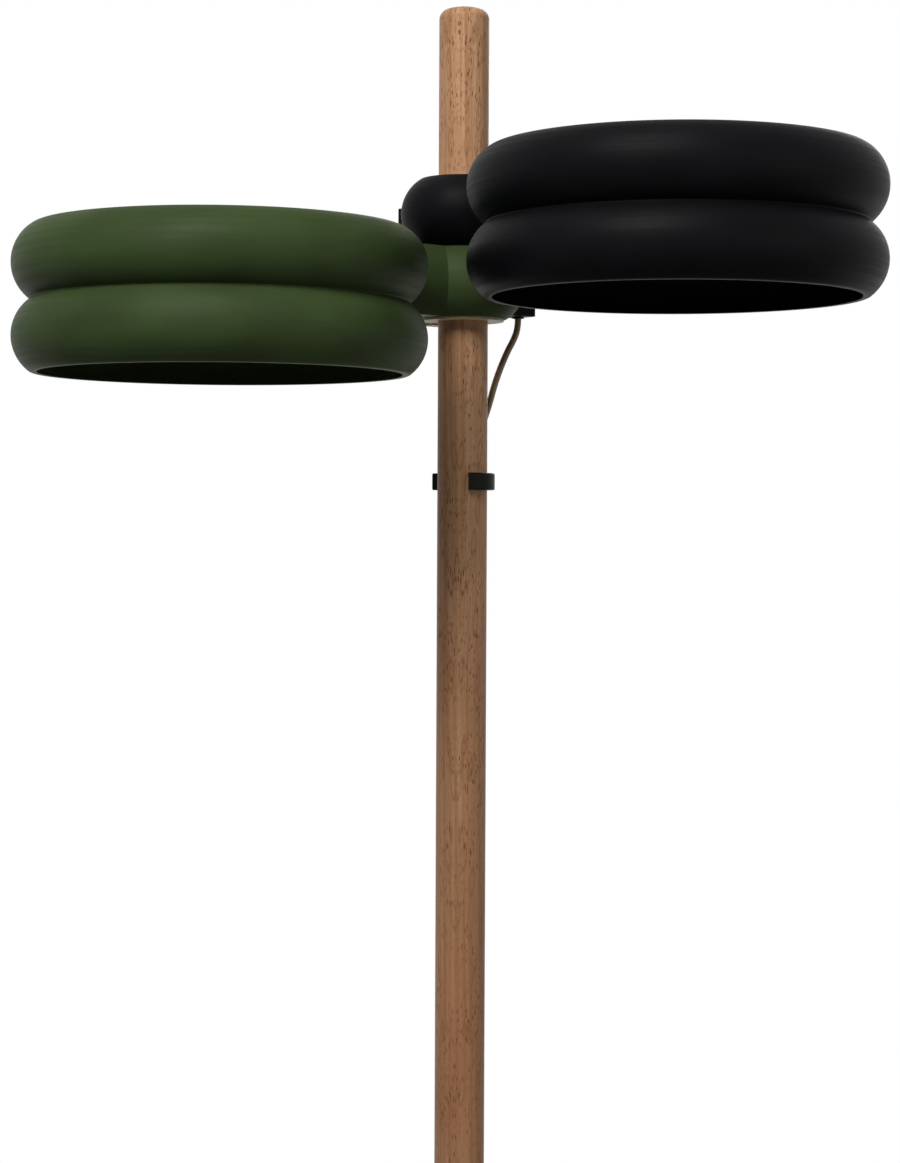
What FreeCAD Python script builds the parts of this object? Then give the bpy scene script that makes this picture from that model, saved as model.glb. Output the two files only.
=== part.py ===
import FreeCAD, Part
import math
import os

from FreeCAD import Placement, Rotation, Vector

# Tension pole lamp: a beech pole between floor and ceiling, two lamp heads that swivel round it, a screw
# jack at its foot, and a cord clipped down its back. Millimetres. The origin is on the floor, on the
# pole's axis. +Z is up and -Y is the front.

UP = Vector(0, 0, 1)

SIZES = {
    "ceilingHeight": (2400.0, "floor to ceiling, the height that the lamp is braced in"),
    "poleRadius": (15.0, "beech dowel"),
    "poleTopRound": (6.0, "rounding of the pole's top edge"),
    "padRadius": (8.0, "felt pad in the pole's top"),
    "padThick": (2.0, "felt pad"),
    "padProud": (0.5, "how far the pad stands above the wood"),
    "headDrop": (183.9, "pole top down to the upper head's rim"),
    "headPitch": (42.0, "height between the two heads"),
    "blackAngle": (-47.5, "direction of the upper head's arm, from +X"),
    "greenAngle": (-141.1, "direction of the lower head's arm, from +X"),
    "armLength": (174.0, "pole axis to shade axis"),
    "shadeRadius": (116.0, "shade at the middle of a ring"),
    "ringRound": (24.5, "radius of a ring's rounded side"),
    "lowRing": (20.0, "rim to the middle of the lower ring"),
    "ringPitch": (40.5, "middle of one ring to the middle of the other"),
    "shadeTop": (21.0, "middle of the upper ring to the roof"),
    "shadeWall": (2.0, "printed wall"),
    "roofThick": (2.4, "printed roof"),
    "hubRadius": (37.5, "hub at its middle"),
    "hubHeight": (41.6, "hub"),
    "hubLift": (0.7, "keeps the neck clear of the shade's waist"),
    "neckHalf": (23.0, "half the neck's width at its middle"),
    "sleeveRadius": (19.0, "nylon sleeve round the pole"),
    "flangeRadius": (24.5, "sleeve's flange"),
    "flangeThick": (2.5, "sleeve's flange"),
    "flangeProud": (1.4, "how far the lower sleeve's flange stands below its hub"),
    "earWidth": (12.0, "ear on the lower sleeve"),
    "earReach": (33.0, "pole axis to the ear's end"),
    "earThick": (2.0, "ear"),
    "earGap": (0.35, "ear below the hub"),
    "runClear": (0.05, "running clearance of pole, sleeve and hub"),
    "boxWidth": (18.0, "cable box"),
    "boxHeight": (24.2, "cable box"),
    "boxReach": (50.0, "pole axis to the box's outer face"),
    "boxSeat": (31.0, "pole axis to the box's inner face"),
    "boxLift": (3.8, "hub's underside to the box's underside"),
    "boxWall": (1.8, "cable box"),
    "plateRadius": (70.0, "aluminium plate that carries the board"),
    "plateThick": (3.0, "aluminium plate"),
    "bossLength": (6.0, "roof to plate"),
    "boardRadius": (60.0, "board"),
    "boardThick": (1.6, "board"),
    "diffuserRadius": (69.0, "opal cup"),
    "diffuserDepth": (16.0, "opal cup"),
    "diffuserWall": (2.0, "opal cup"),
    "leadRadius": (1.5, "lead between box and board"),
    "cordRadius": (2.0, "cord"),
    "clipDrop": (283.0, "pole top down to the middle of the first clip"),
    "clipHeight": (10.2, "cable clip"),
    "clipThick": (4.6, "cable clip"),
    "ferruleRadius": (19.0, "steel cup on the pole's foot"),
    "ferruleHeight": (60.0, "steel cup"),
    "jackRadius": (8.0, "jack screw"),
    "jackTravel": (20.0, "how far the jack screws in"),
    "nutRadius": (28.0, "hand nut"),
    "nutHeight": (16.0, "hand nut"),
    "footRadius": (43.0, "foot disc"),
    "footThick": (6.0, "foot disc"),
    "rubberThick": (4.0, "rubber under the foot disc"),
}

doc = FreeCAD.newDocument("PoleLamp")
sheet = doc.addObject("Spreadsheet::Sheet", "Sizes")
for row, (alias, (value, note)) in enumerate(SIZES.items(), start=1):
    sheet.set("A%d" % row, alias)
    sheet.set("B%d" % row, str(value))
    sheet.set("C%d" % row, note)
    sheet.setAlias("B%d" % row, alias)
doc.recompute()

written = []  # (node name, document object) in the order made


def size(alias):
    return float(sheet.get(alias))


def keep(item, name):
    item.Label = name
    written.append((name, item))
    return item


def value_of(text):
    result = sheet.evalExpression(text)
    return float(getattr(result, "Value", result))


def bind(item, **expressions):
    for name, text in expressions.items():
        item.setExpression(name.replace("__", "."), text)


# ---- sketches -------------------------------------------------------------------------------------------


def origin_plane(body, role):
    return [f for f in body.Origin.OriginFeatures if f.Role == role][0]


def outline(body, name, role, points):
    """A closed sketch. Each point is (x, y) or (x, y, radius, side): the edge after such a point is an arc
    of that radius, whose centre lies left (+1) or right (-1) of the way from this point to the next."""
    import Sketcher

    sketch = body.newObject("Sketcher::SketchObject", name)
    sketch.AttachmentSupport = [(origin_plane(body, role), "")]
    sketch.MapMode = "FlatFace"
    places = [Vector(value_of(p[0]), value_of(p[1]), 0) for p in points]
    ends = []
    for i, point in enumerate(points):
        a = places[i]
        b = places[(i + 1) % len(points)]
        if len(point) == 2:
            edge = sketch.addGeometry(Part.LineSegment(a, b))
            ends.append((edge, 1, 2))
            continue
        radius = value_of(point[2])
        half = (b - a) * 0.5
        left = Vector(-half.y, half.x, 0).normalize()
        centre = a + half + left * (point[3] * math.sqrt(max(radius**2 - half.Length**2, 0)))
        first, last = (a, b) if point[3] > 0 else (b, a)
        start = math.atan2(first.y - centre.y, first.x - centre.x)
        stop = math.atan2(last.y - centre.y, last.x - centre.x)
        arc = Part.ArcOfCircle(Part.Circle(centre, UP, radius), start, stop if stop > start else stop + 2 * math.pi)
        edge = sketch.addGeometry(arc)
        ends.append((edge, 1, 2) if point[3] > 0 else (edge, 2, 1))
    for i, point in enumerate(points):
        edge, first, last = ends[i]
        after = ends[(i + 1) % len(points)]
        sketch.addConstraint(Sketcher.Constraint("Coincident", edge, last, after[0], after[1]))
        for kind, text, value, axis in (("DistanceX", point[0], places[i].x, -2), ("DistanceY", point[1], places[i].y, -1)):
            if abs(value) < 1e-9:
                sketch.addConstraint(Sketcher.Constraint("PointOnObject", edge, first, axis))
                continue
            held = sketch.addConstraint(Sketcher.Constraint(kind, -1, 1, edge, first, value))
            sketch.setExpression("Constraints[%d]" % held, text)
        if len(point) > 2:
            held = sketch.addConstraint(Sketcher.Constraint("Radius", edge, value_of(point[2])))
            sketch.setExpression("Constraints[%d]" % held, point[2])
    return sketch


def circles(body, name, role, centres):
    """A sketch of circles, each (x, y, radius)."""
    import Sketcher

    sketch = body.newObject("Sketcher::SketchObject", name)
    sketch.AttachmentSupport = [(origin_plane(body, role), "")]
    sketch.MapMode = "FlatFace"
    for x, y, radius in centres:
        place = Vector(value_of(x), value_of(y), 0)
        edge = sketch.addGeometry(Part.Circle(place, UP, value_of(radius)))
        held = sketch.addConstraint(Sketcher.Constraint("Radius", edge, value_of(radius)))
        sketch.setExpression("Constraints[%d]" % held, radius)
        for kind, text, value, axis in (("DistanceX", x, place.x, -2), ("DistanceY", y, place.y, -1)):
            if abs(value) < 1e-9:
                sketch.addConstraint(Sketcher.Constraint("PointOnObject", edge, 3, axis))
                continue
            held = sketch.addConstraint(Sketcher.Constraint(kind, -1, 1, edge, 3, value))
            sketch.setExpression("Constraints[%d]" % held, text)
    return sketch


def lower_sketch(sketch, text):
    """Moves a sketch along its plane's normal."""
    sketch.setExpression("AttachmentOffset.Base.z", text)


def turned(body, name, points, cut=False, angle=360.0):
    """A revolution, or a groove, of an outline in the XZ plane about the body's Z axis."""
    sketch = outline(body, name + "Sketch", "XZ_Plane", points)
    doc.recompute()
    before = body.Shape.Volume if cut else 0.0
    feature = body.newObject("PartDesign::Groove" if cut else "PartDesign::Revolution", name)
    feature.Profile = sketch
    feature.ReferenceAxis = (sketch, ["V_Axis"])
    feature.Angle = angle
    doc.recompute()
    if cut and not feature.Shape.Volume < before - 1e-6:
        raise RuntimeError(name + " cuts nothing")
    return feature


def pushed(body, name, sketch, length, cut=False, middle=False, back=False):
    """A pad, or a pocket, of a sketch. A pocket that cuts nothing is an error."""
    doc.recompute()
    before = body.Shape.Volume if cut else 0.0
    feature = body.newObject("PartDesign::Pocket" if cut else "PartDesign::Pad", name)
    feature.Profile = sketch
    feature.SideType = 2 if middle else 0
    feature.Reversed = back
    feature.setExpression("Length", length)
    doc.recompute()
    if cut and not feature.Shape.Volume < before - 1e-6:
        raise RuntimeError(name + " cuts nothing")
    return feature


def rectangle(x0, y0, x1, y1):
    return [(x0, y0), (x1, y0), (x1, y1), (x0, y1)]


def new_body(name):
    return keep(doc.addObject("PartDesign::Body", "body_" + name), name)


def cylinder(name, radius, height, base):
    item = doc.addObject("Part::Cylinder", name)
    bind(item, Radius=radius, Height=height)
    bind(item, Placement__Base__x=base[0], Placement__Base__y=base[1], Placement__Base__z=base[2])
    return keep(item, name)


def set_shape(name, shape, place=None):
    item = doc.addObject("Part::Feature", name)
    item.Shape = shape
    if place is not None:
        item.Placement = place
    return keep(item, name)


# ---- places -----------------------------------------------------------------------------------------------

POLE_TOP = "(Sizes.ceilingHeight - Sizes.padProud)"
BLACK_RIM = "(%s - Sizes.headDrop)" % POLE_TOP
GREEN_RIM = "(%s - Sizes.headPitch)" % BLACK_RIM
HEADS = {"black": ("Sizes.blackAngle", BLACK_RIM), "green": ("Sizes.greenAngle", GREEN_RIM)}

# Heights in a head, above its rim.
RING_TOP = "(Sizes.lowRing + Sizes.ringPitch)"
HUB_LOW = "(%s - Sizes.hubHeight / 2 + Sizes.hubLift)" % RING_TOP
HUB_HIGH = "(%s + Sizes.hubHeight)" % HUB_LOW
ROOF = "(%s + Sizes.shadeTop)" % RING_TOP
PLATE_TOP = "(%s - Sizes.roofThick - Sizes.bossLength)" % ROOF
PLATE_LOW = "(%s - Sizes.plateThick)" % PLATE_TOP
BOARD_LOW = "(%s - Sizes.boardThick)" % PLATE_LOW
BOX_LOW = "(%s + Sizes.boxLift)" % HUB_LOW


def at_pole(item, colour):
    """Puts an item drawn with its arm along +X, and its rim at 0, into its head."""
    angle, rim = HEADS[colour]
    item.Placement = Placement(Vector(), Rotation(UP, value_of(angle)))
    bind(item, Placement__Base__z=rim, Placement__Rotation__Angle=angle)
    item.Placement.Rotation.Axis = UP
    return item


def at_shade(item, colour):
    """Puts an item drawn round the shade's own axis, with the rim at 0, into its head."""
    at_pole(item, colour)
    angle = HEADS[colour][0]
    bind(item, Placement__Base__x="Sizes.armLength * cos(%s)" % angle)
    bind(item, Placement__Base__y="Sizes.armLength * sin(%s)" % angle)
    return item


def head_place(colour):
    angle, rim = HEADS[colour]
    return Placement(Vector(0, 0, value_of(rim)), Rotation(UP, value_of(angle)))


# ---- shade ------------------------------------------------------------------------------------------------


def ring_radius(rise, inset="0"):
    """Radius of a ring's side at a height above or below its middle, as an expression."""
    return "(Sizes.shadeRadius - Sizes.ringRound + sqrt(pow(Sizes.ringRound - %s; 2) - pow(%s; 2)))" % (inset, rise)


WAIST = "(Sizes.lowRing + Sizes.ringPitch / 2)"


def shade_side(inset):
    """The shade's side from its rim to its roof, moved inwards by inset: two arcs that meet at the waist."""
    arc = "(Sizes.ringRound - %s)" % inset
    top = "Sizes.shadeTop" if inset == "0" else "(Sizes.shadeTop - Sizes.roofThick)"
    return [
        (ring_radius("Sizes.lowRing", inset), "0", arc, 1),
        (ring_radius("(Sizes.ringPitch / 2)", inset), WAIST, arc, 1),
        (ring_radius(top, inset), "(%s + %s)" % (RING_TOP, top)),
    ]


def make_shade(colour):
    body = new_body(colour + "_shade")
    side = shade_side("0")
    turned(body, colour + "Outside", [("0", "0")] + side + [("0", ROOF)])
    inner = shade_side("Sizes.shadeWall")
    roof_inside = "(%s - Sizes.roofThick)" % ROOF
    turned(body, colour + "Inside", [("0", "0")] + inner + [("0", roof_inside)], cut=True)
    boss = circles(body, colour + "BossSketch", "XY_Plane", [("Sizes.plateRadius - 6.2", "0", "5")])
    lower_sketch(boss, PLATE_TOP)
    pad = pushed(body, colour + "Boss", boss, "Sizes.bossLength + Sizes.roofThick / 2")
    hole = circles(body, colour + "BossHoleSketch", "XY_Plane", [("Sizes.plateRadius - 6.2", "0", "1.45")])
    lower_sketch(hole, PLATE_TOP)
    bore = pushed(body, colour + "BossHole", hole, "Sizes.bossLength", cut=True, back=True)
    bosses = body.newObject("PartDesign::PolarPattern", colour + "Bosses")
    bosses.Originals = [pad, bore]
    bosses.Axis = (hole, ["N_Axis"])
    bosses.Angle = 360
    bosses.Occurrences = 3
    body.Tip = bosses
    doc.recompute()
    # Holes in the wall towards the pole: two for the arm screws and a larger one for the lead.
    holes = circles(
        body,
        colour + "WallHoleSketch",
        "YZ_Plane",
        [("12", RING_TOP, "2.05"), ("-12", RING_TOP, "2.05"), ("0", RING_TOP, "2.2")],
    )
    pushed(body, colour + "WallHoles", holes, "Sizes.shadeRadius + 5", cut=True)
    return at_shade(body, colour)


# ---- hub and neck -----------------------------------------------------------------------------------------


def hub_radius(rise, inset="0"):
    return "(Sizes.hubRadius - Sizes.ringRound + sqrt(pow(Sizes.ringRound; 2) - pow(%s; 2)))" % rise


def make_hub_arm(colour):
    body = new_body(colour + "_hub_arm")
    edge = hub_radius("(Sizes.hubHeight / 2)")
    hub = [("0", HUB_LOW), (edge, HUB_LOW, "Sizes.ringRound", 1), (edge, HUB_HIGH), ("0", HUB_HIGH)]
    turned(body, colour + "Hub", hub)
    # The neck has the hub's rounded sides and runs into the shade's upper ring.
    flat = "(Sizes.neckHalf - Sizes.ringRound + sqrt(pow(Sizes.ringRound; 2) - pow(Sizes.hubHeight / 2; 2)))"
    section = [
        ("-" + flat, HUB_LOW),
        (flat, HUB_LOW, "Sizes.ringRound", 1),
        (flat, HUB_HIGH),
        ("-" + flat, HUB_HIGH, "Sizes.ringRound", 1),
    ]
    neck = outline(body, colour + "NeckSketch", "YZ_Plane", section)
    pushed(body, colour + "Neck", neck, "Sizes.armLength - Sizes.shadeRadius + Sizes.ringRound")
    trim_neck(body, colour)
    bore = circles(body, colour + "BoreSketch", "XY_Plane", [("0", "0", "Sizes.sleeveRadius + Sizes.runClear")])
    lower_sketch(bore, HUB_HIGH)
    pushed(body, colour + "Bore", bore, "Sizes.hubHeight", cut=True)
    recess = circles(body, colour + "RecessSketch", "XY_Plane", [("0", "0", "Sizes.flangeRadius + 0.4")])
    lower_sketch(recess, "%s + Sizes.flangeThick + 0.1" % HUB_LOW)
    pushed(body, colour + "Recess", recess, "Sizes.flangeThick + 0.1", cut=True)
    seat = outline(
        body,
        colour + "SeatSketch",
        "YZ_Plane",
        rectangle(
            "-(Sizes.boxWidth / 2 + 0.1)",
            "%s - 0.1" % BOX_LOW,
            "Sizes.boxWidth / 2 + 0.1",
            "%s + Sizes.boxHeight + 0.1" % BOX_LOW,
        ),
    )
    lower_sketch(seat, "-(Sizes.boxSeat - 0.1)")
    pushed(body, colour + "Seat", seat, "20", cut=True)
    make_lead_channel(body, colour)
    screws = circles(body, colour + "ScrewHoleSketch", "YZ_Plane", [("12", RING_TOP, "1.65"), ("-12", RING_TOP, "1.65")])
    lower_sketch(screws, "Sizes.armLength - Sizes.shadeRadius + 2")
    pushed(body, colour + "ScrewHoles", screws, "14", cut=True)
    grub = circles(body, colour + "GrubHoleSketch", "XZ_Plane", [("0", RING_TOP, "2.55")])
    pushed(body, colour + "GrubHole", grub, "Sizes.hubRadius + 5", cut=True, back=colour == "green")
    return at_pole(body, colour)


def lead_way(colour):
    """The side of the pole that the lead passes on. The grub screw is on the other side, at the back."""
    return -1 if colour == "black" else 1


def trim_neck(body, colour):
    """Cuts the neck to the shade's side with a groove turned about the shade's axis."""
    import Sketcher

    reach = "(Sizes.armLength - %s)"
    gap = "(Sizes.ringRound + 0.2)"
    fall = "(Sizes.hubHeight / 2 + 0.5)"
    rise = "(Sizes.hubHeight / 2 + Sizes.hubLift + 0.5)"
    low, high = "(%s - %s)" % (RING_TOP, fall), "(%s + %s)" % (RING_TOP, rise)
    points = [
        (reach % ring_radius(fall, "-0.2"), low),
        ("Sizes.armLength", low),
        ("Sizes.armLength", high),
        (reach % ring_radius(rise, "-0.2"), high, gap, 1),
    ]
    sketch = outline(body, colour + "TrimSketch", "XZ_Plane", points)
    axis = sketch.addGeometry(Part.LineSegment(Vector(size("armLength"), -9, 0), Vector(size("armLength"), 9, 0)), True)
    sketch.addConstraint(Sketcher.Constraint("Vertical", axis))
    held = sketch.addConstraint(Sketcher.Constraint("DistanceX", -1, 1, axis, 1, size("armLength")))
    sketch.setExpression("Constraints[%d]" % held, "Sizes.armLength")
    doc.recompute()
    before = body.Shape.Volume
    groove = body.newObject("PartDesign::Groove", colour + "Trim")
    groove.Profile = sketch
    groove.ReferenceAxis = (sketch, ["Axis0"])
    groove.Angle = 360
    doc.recompute()
    if not groove.Shape.Volume < before - 1e-6:
        raise RuntimeError("the trim of the neck cuts nothing")


LEAD_SIDE = 24.5  # how far to the side of the pole's axis the lead passes
LEAD_ROOM = 5.0  # width and height of its channel


def make_lead_channel(body, colour):
    """A closed channel from the box's seat past the sleeve to the neck's end."""
    half = LEAD_ROOM / 2
    far = LEAD_SIDE + half
    near = LEAD_SIDE - half
    seat = size("boxSeat")
    end = size("armLength") - size("shadeRadius") + 5
    corners = [
        (-seat - 1, -half),
        (-seat + 2, -half),
        (-11.5, near),
        (11.5, near),
        (29, -half),
        (end, -half),
        (end, half),
        (35.5, half),
        (17, far),
        (-16, far),
        (-seat - 1, 2 * half),
    ]
    points = [(str(x), str(lead_way(colour) * y)) for x, y in corners]
    channel = outline(body, colour + "ChannelSketch", "XY_Plane", points)
    lower_sketch(channel, RING_TOP)
    pushed(body, colour + "Channel", channel, str(LEAD_ROOM), cut=True, middle=True)


def make_sleeve(colour):
    body = new_body(colour + "_sleeve")
    inner = "Sizes.poleRadius + Sizes.runClear"
    low = "(%s - Sizes.flangeProud)" % HUB_LOW if colour == "green" else HUB_LOW
    points = [
        (inner, low),
        ("Sizes.flangeRadius", low),
        ("Sizes.flangeRadius", "%s + Sizes.flangeThick" % HUB_LOW),
        ("Sizes.sleeveRadius", "%s + Sizes.flangeThick" % HUB_LOW),
        ("Sizes.sleeveRadius", "%s - 0.6" % HUB_HIGH),
        (inner, "%s - 0.6" % HUB_HIGH),
    ]
    turned(body, colour + "Sleeve", points)
    if colour == "green":
        make_ear(body)
    return at_pole(body, colour)


def make_ear(body):
    """A flat ear under the lower sleeve's flange, behind the pole."""
    drop = "(%s - Sizes.earThick - Sizes.earGap)" % HUB_LOW
    half = "Sizes.earWidth / 2"
    near = "-(Sizes.flangeRadius - 3)"
    far = "-Sizes.earReach"
    edge = "-(Sizes.flangeRadius - 0.5)"
    foot = outline(body, "EarFootSketch", "XY_Plane", rectangle("-" + half, edge, half, near))
    lower_sketch(foot, drop)
    pushed(body, "EarFoot", foot, "Sizes.earThick + Sizes.earGap + Sizes.flangeThick / 2")
    ear = outline(body, "EarSketch", "XY_Plane", rectangle("-" + half, far, half, near))
    lower_sketch(ear, drop)
    pushed(body, "Ear", ear, "Sizes.earThick")


def grub_screw(colour):
    """A headless screw through the hub's side, its point on the sleeve."""
    way = -lead_way(colour)
    length = 12.0
    gap = 0.1
    start = Vector(0, way * (size("sleeveRadius") + gap), value_of(RING_TOP))
    screw = Part.makeCylinder(2.5, length, start, Vector(0, way, 0))
    socket = Part.makeCylinder(1.4, 3, start + Vector(0, way * (length - 3), 0), Vector(0, way, 0))
    set_shape(colour + "_grub_screw", screw.cut(socket), head_place(colour))


def pan_screw(radius, length, head_radius, head_height, base, along):
    """A screw with a domed head. base is where the head meets its seat, along points to the tip."""
    along = Vector(along).normalize()
    shank = Part.makeCylinder(radius, length, base, along)
    head = Part.makeCylinder(head_radius, head_height, base - along * head_height, along)
    dome = head.makeFillet(head_height * 0.45, [e for e in head.Edges if near_plane(e, base - along * head_height, along)])
    socket = Part.makeCylinder(head_radius * 0.45, head_height * 0.5, base - along * head_height, along)
    return shank.fuse(dome).cut(socket)


def near_plane(edge, point, normal):
    return all(abs((v.Point - point).dot(normal)) < 1e-6 for v in edge.Vertexes) and len(edge.Vertexes) == 1


# ---- what a head holds ------------------------------------------------------------------------------------


def make_light(colour):
    plate = new_body(colour + "_heat_plate")
    disc = circles(plate, colour + "PlateSketch", "XY_Plane", [("0", "0", "Sizes.plateRadius")])
    lower_sketch(disc, PLATE_LOW)
    pushed(plate, colour + "Plate", disc, "Sizes.plateThick")
    hole = circles(plate, colour + "PlateHoleSketch", "XY_Plane", [("Sizes.plateRadius - 6.2", "0", "1.6")])
    lower_sketch(hole, PLATE_TOP)
    bore = pushed(plate, colour + "PlateHole", hole, "Sizes.plateThick", cut=True)
    ring = plate.newObject("PartDesign::PolarPattern", colour + "PlateHoles")
    ring.Originals = [bore]
    ring.Axis = (hole, ["N_Axis"])
    ring.Angle = 360
    ring.Occurrences = 3
    plate.Tip = ring
    doc.recompute()
    entry = circles(plate, colour + "EntrySketch", "XY_Plane", [("-(Sizes.boardRadius - 20)", "0", "3.2")])
    lower_sketch(entry, PLATE_TOP)
    pushed(plate, colour + "Entry", entry, "Sizes.plateThick", cut=True)
    at_shade(plate, colour)

    board = new_body(colour + "_led_board")
    disc = circles(board, colour + "BoardSketch", "XY_Plane", [("0", "0", "Sizes.boardRadius")])
    lower_sketch(disc, BOARD_LOW)
    pushed(board, colour + "Board", disc, "Sizes.boardThick")
    chip = outline(board, colour + "ChipSketch", "XY_Plane", rectangle("46", "-1.5", "49", "1.5"))
    lower_sketch(chip, "%s - 0.7" % BOARD_LOW)
    pad = pushed(board, colour + "Chip", chip, "1")
    chips = board.newObject("PartDesign::PolarPattern", colour + "Chips")
    chips.Originals = [pad]
    chips.Axis = (chip, ["N_Axis"])
    chips.Angle = 360
    chips.Occurrences = 24
    board.Tip = chips
    doc.recompute()
    at_shade(board, colour)

    cup = new_body(colour + "_diffuser")
    low = "(%s - Sizes.diffuserDepth)" % PLATE_LOW
    outer = "Sizes.diffuserRadius"
    points = [
        ("0", low),
        ("%s - 6" % outer, low, "6", 1),
        (outer, "%s + 6" % low),
        (outer, PLATE_LOW),
        ("%s - Sizes.diffuserWall" % outer, PLATE_LOW),
        ("%s - Sizes.diffuserWall" % outer, "%s + 6" % low, "6 - Sizes.diffuserWall", -1),
        ("%s - 6" % outer, "%s + Sizes.diffuserWall" % low),
        ("0", "%s + Sizes.diffuserWall" % low),
    ]
    turned(cup, colour + "Cup", points)
    at_shade(cup, colour)


def plate_screws(colour):
    """Three screws hold the plate to the bosses under the roof."""
    screws = []
    reach = size("plateRadius") - 6.2
    for k in range(3):
        around = math.radians(120 * k)
        base = Vector(reach * math.cos(around), reach * math.sin(around), value_of(PLATE_LOW))
        screws.append(pan_screw(1.4, 8, 2.6, 1.8, base, UP))
    return screws


def arm_screws():
    """Two screws from inside the shade into the neck, in the arm's frame."""
    wall = size("armLength") - size("shadeRadius") + size("shadeWall") + 1.15
    height = value_of(RING_TOP)
    return [pan_screw(1.6, 13, 3.4, 2.2, Vector(wall, side * 12, height), Vector(-1, 0, 0)) for side in (1, -1)]


def make_box(colour):
    """The block behind the hub: an open box, its cover, the connector in it and the bush in its floor."""
    width = size("boxWidth")
    high = size("boxHeight")
    wall = size("boxWall")
    reach = size("boxReach")
    seat = size("boxSeat")
    low = value_of(BOX_LOW)
    mid = value_of(RING_TOP)
    cover = 2.0
    corner = 1.2
    place = head_place(colour)
    outer = Part.makeBox(reach - cover - seat, width, high, Vector(-(reach - cover), -width / 2, low))
    inner = Part.makeBox(
        reach - cover - seat - wall + 1, width - 2 * wall, high - 2 * wall,
        Vector(-(reach - cover) - 1, -width / 2 + wall, low + wall),
    )
    shell = outer.cut(inner)
    posts = []
    screws = []
    for top in (0, 1):
        z = low + (high - wall - 1.9 if top else wall + 1.9)
        y = (width / 2 - wall - 1.9) * (1 if top else -1)
        posts.append(Part.makeBox(reach - cover - seat - wall + 0.5, 4.0, 4.0, Vector(-(reach - cover), y - 2.0, z - 2.0)))
        screws.append((y, z))
    shell = shell.multiFuse(posts)
    for y, z in screws:
        shell = shell.cut(Part.makeCylinder(1.05, 9, Vector(-(reach - cover), y, z), Vector(1, 0, 0)))
    exit_x = -gland_reach()
    shell = shell.cut(Part.makeCylinder(3.0, wall * 3, Vector(exit_x, 0, low - wall), UP))
    shell = shell.cut(Part.makeCylinder(2.3, wall * 3, Vector(-seat - wall * 2, 0, mid), Vector(1, 0, 0)))
    set_shape(colour + "_cable_box", shell.removeSplitter(), place)

    lid = Part.makeBox(cover, width, high, Vector(-reach, -width / 2, low))
    lid = lid.makeFillet(corner, [e for e in lid.Edges if is_outer_edge(e, -reach)])
    for y, z in screws:
        lid = lid.cut(Part.makeCylinder(1.25, cover * 3, Vector(-reach - cover, y, z), Vector(1, 0, 0)))
        lid = lid.cut(Part.makeCylinder(2.1, 1.2, Vector(-reach, y, z), Vector(1, 0, 0)))
    set_shape(colour + "_box_cover", lid, place)
    pins = [pan_screw(1.0, 7, 1.9, 1.0, Vector(-reach + 1.2, y, z), Vector(1, 0, 0)) for y, z in screws]
    set_shape(colour + "_box_screws", Part.makeCompound(pins), place)

    # The bush fills the hole in the box's floor and stands 1 mm below it.
    gland = Part.makeCylinder(2.95, wall + 1.6, Vector(exit_x, 0, low - 1.0), UP)
    gland = gland.fuse(Part.makeCylinder(3.6, 1.0, Vector(exit_x, 0, low - 1.0), UP))
    gland = gland.cut(Part.makeCylinder(2.02, wall * 4, Vector(exit_x, 0, low - wall), UP))
    set_shape(colour + "_gland", gland, place)

    block_low = low + high / 2 - 6
    terminal = Part.makeBox(7, 8, 12, Vector(-(reach - cover) + 3.5, -4, block_low))
    for k in (-1, 1):
        hole = Part.makeCylinder(1.2, 4, Vector(-(reach - cover) + 3.4, 0, block_low + 6 + 3 * k), Vector(1, 0, 0))
        terminal = terminal.cut(hole)
    set_shape(colour + "_terminal", terminal, place)


def is_outer_edge(edge, x):
    return all(abs(v.X - x) < 1e-6 for v in edge.Vertexes)


# ---- tubes and wires --------------------------------------------------------------------------------------


def rounded_path(points):
    """Straight runs joined by tangent arcs. Returns the wire and the arcs' radii."""
    edges = []
    radii = []
    start = points[0]
    for i in range(1, len(points) - 1):
        back = points[i - 1] - points[i]
        on = points[i + 1] - points[i]
        turn = math.pi - back.getAngle(on)
        radius = 0.45 * min(back.Length, on.Length) / math.tan(turn / 2)
        cut_off = radius * math.tan(turn / 2)
        back.normalize()
        on.normalize()
        first = points[i] + back * cut_off
        last = points[i] + on * cut_off
        inward = (back + on).normalize()
        middle = points[i] + inward * (radius / math.cos(turn / 2) - radius)
        edges.append(Part.LineSegment(start, first).toShape())
        edges.append(Part.Arc(first, middle, last).toShape())
        radii.append(radius)
        start = last
    edges.append(Part.LineSegment(start, points[-1]).toShape())
    return Part.Wire(edges), radii


def tube(wire, radius):
    """A round tube along a wire."""
    first = wire.Edges[0]
    start = first.valueAt(first.FirstParameter)
    along = first.tangentAt(first.FirstParameter)
    ring = Part.Wire(Part.Circle(start, along, radius).toShape())
    return wire.makePipeShell([ring], True, False)


def report_tube(name, shape, wire, radius, radii):
    ideal = math.pi * radius**2 * wire.Length
    print("%s: length %.1f, least radius %.1f, volume %.4f of section x length"
          % (name, wire.Length, min(radii), shape.Volume / ideal))
    print("   radii " + " ".join("%.1f" % r for r in radii))


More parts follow.
